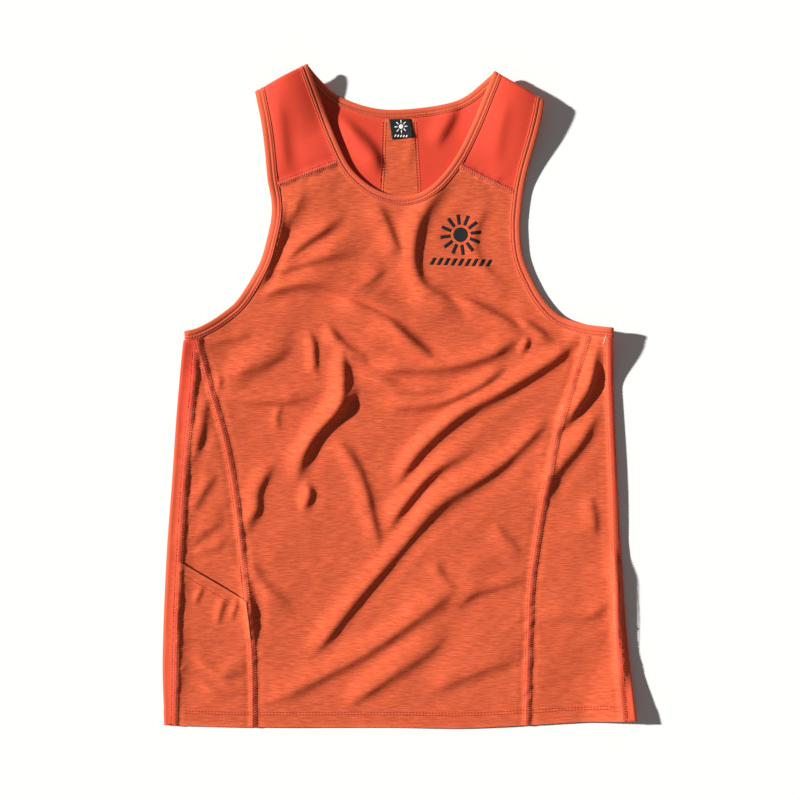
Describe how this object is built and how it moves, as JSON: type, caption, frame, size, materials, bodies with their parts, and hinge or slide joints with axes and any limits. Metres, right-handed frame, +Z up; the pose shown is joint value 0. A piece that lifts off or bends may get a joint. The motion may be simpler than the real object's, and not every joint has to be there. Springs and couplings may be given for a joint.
{
  "type": "running singlet",
  "caption": "Sleeveless running singlet laid flat with the front up: scooped neck, cut-in armholes, curved side panels and a slanted pocket on one side.",
  "frame": {"origin": "middle of the laid garment's footprint, on the surface it lies on", "axes": "+Y from the hem to the neck, +X towards the wearer's left side seen from above with the front up, +Z up through the front"},
  "size_m": [0.4964, 0.695, 0.0253],
  "materials": {
    "heather_jersey": "matt orange jersey with fine darker cross dashes",
    "red_knit": "smooth red-orange knit with a faint sheen",
    "binding": "matt orange binding",
    "label": "black woven label"
  },
  "bodies": {
    "root": {"front_centre": "heather_jersey", "side_front_left": "heather_jersey", "side_front_right": "heather_jersey", "pocket_front_left": "heather_jersey", "back_centre": "heather_jersey", "back_left": "red_knit", "back_right": "red_knit", "neck_binding": "binding", "armhole_binding_left": "binding", "armhole_binding_right": "binding", "neck_label": "label"}
  },
  "joints": []
}
